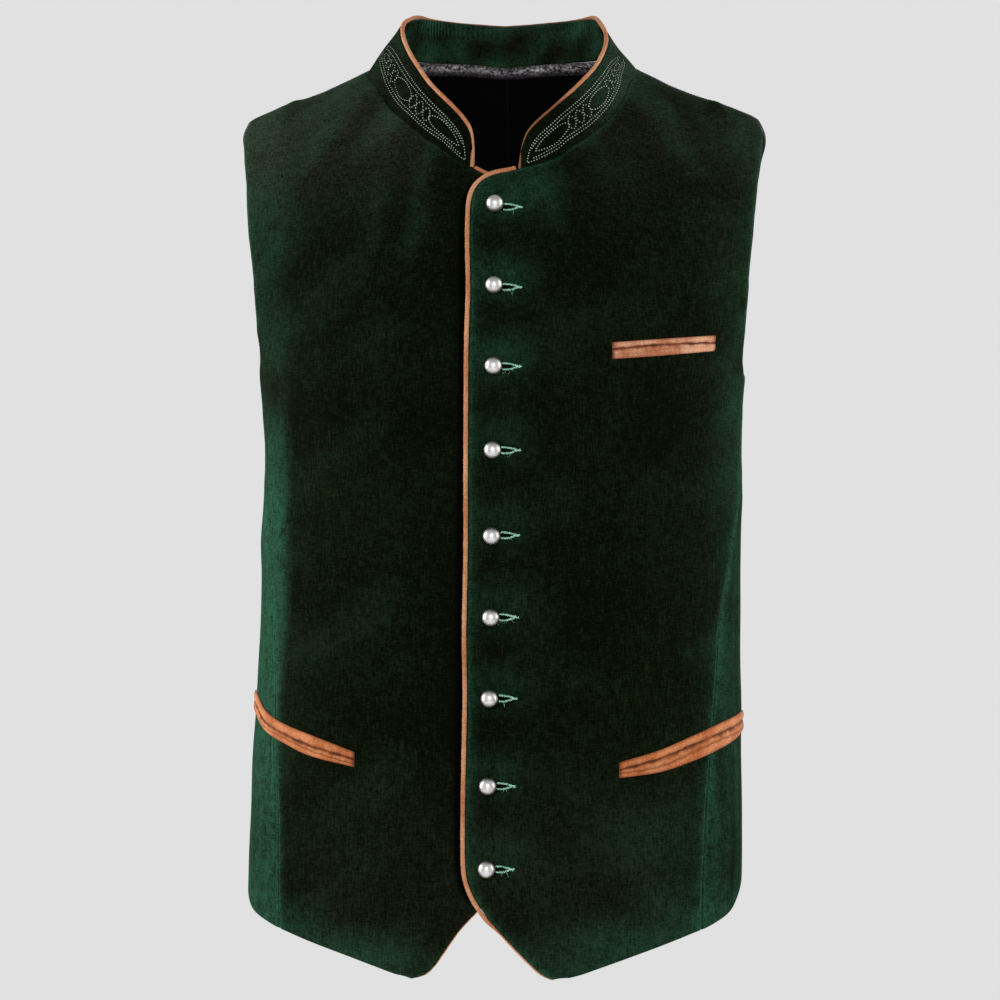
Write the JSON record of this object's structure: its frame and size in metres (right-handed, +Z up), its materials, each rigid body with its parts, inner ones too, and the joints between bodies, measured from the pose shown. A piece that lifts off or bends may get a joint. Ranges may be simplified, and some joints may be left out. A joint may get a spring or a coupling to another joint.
{
  "type": "trachten waistcoat",
  "caption": "Sleeveless velvet folk-dress waistcoat with a stand collar, leather piping, welted pockets and a row of ball buttons down the front.",
  "frame": {"origin": "between the two neck points, at the height where the collar meets the shoulder seams, where the garment rests on the wearer's shoulders", "axes": "+Z up, +X towards the wearer's left, +Y towards the wearer's back, so the closing faces -Y"},
  "size_m": [0.3946, 0.2472, 0.717],
  "materials": {
    "velvet": "dark green cotton velvet, short pile",
    "satin": "dark plum satin lining cloth",
    "tape": "lilac grey satin tape",
    "suede": "tan suede",
    "button_metal": "satin silver-coloured metal"
  },
  "bodies": {
    "root": {"front_left": "velvet", "front_right": "velvet", "side_left": "velvet", "side_right": "velvet", "back_left": "satin", "back_right": "satin", "collar": "velvet", "neck_tape": "tape", "piping_front_left": "suede", "piping_front_right": "suede", "piping_collar": "suede", "welt_breast_upper": "suede", "welt_breast_lower": "suede", "welt_left_upper": "suede", "welt_left_lower": "suede", "welt_right_upper": "suede", "welt_right_lower": "suede", "button_1": "button_metal", "button_2": "button_metal", "button_3": "button_metal", "button_4": "button_metal", "button_5": "button_metal", "button_6": "button_metal", "button_7": "button_metal", "button_8": "button_metal", "button_9": "button_metal"}
  },
  "joints": []
}
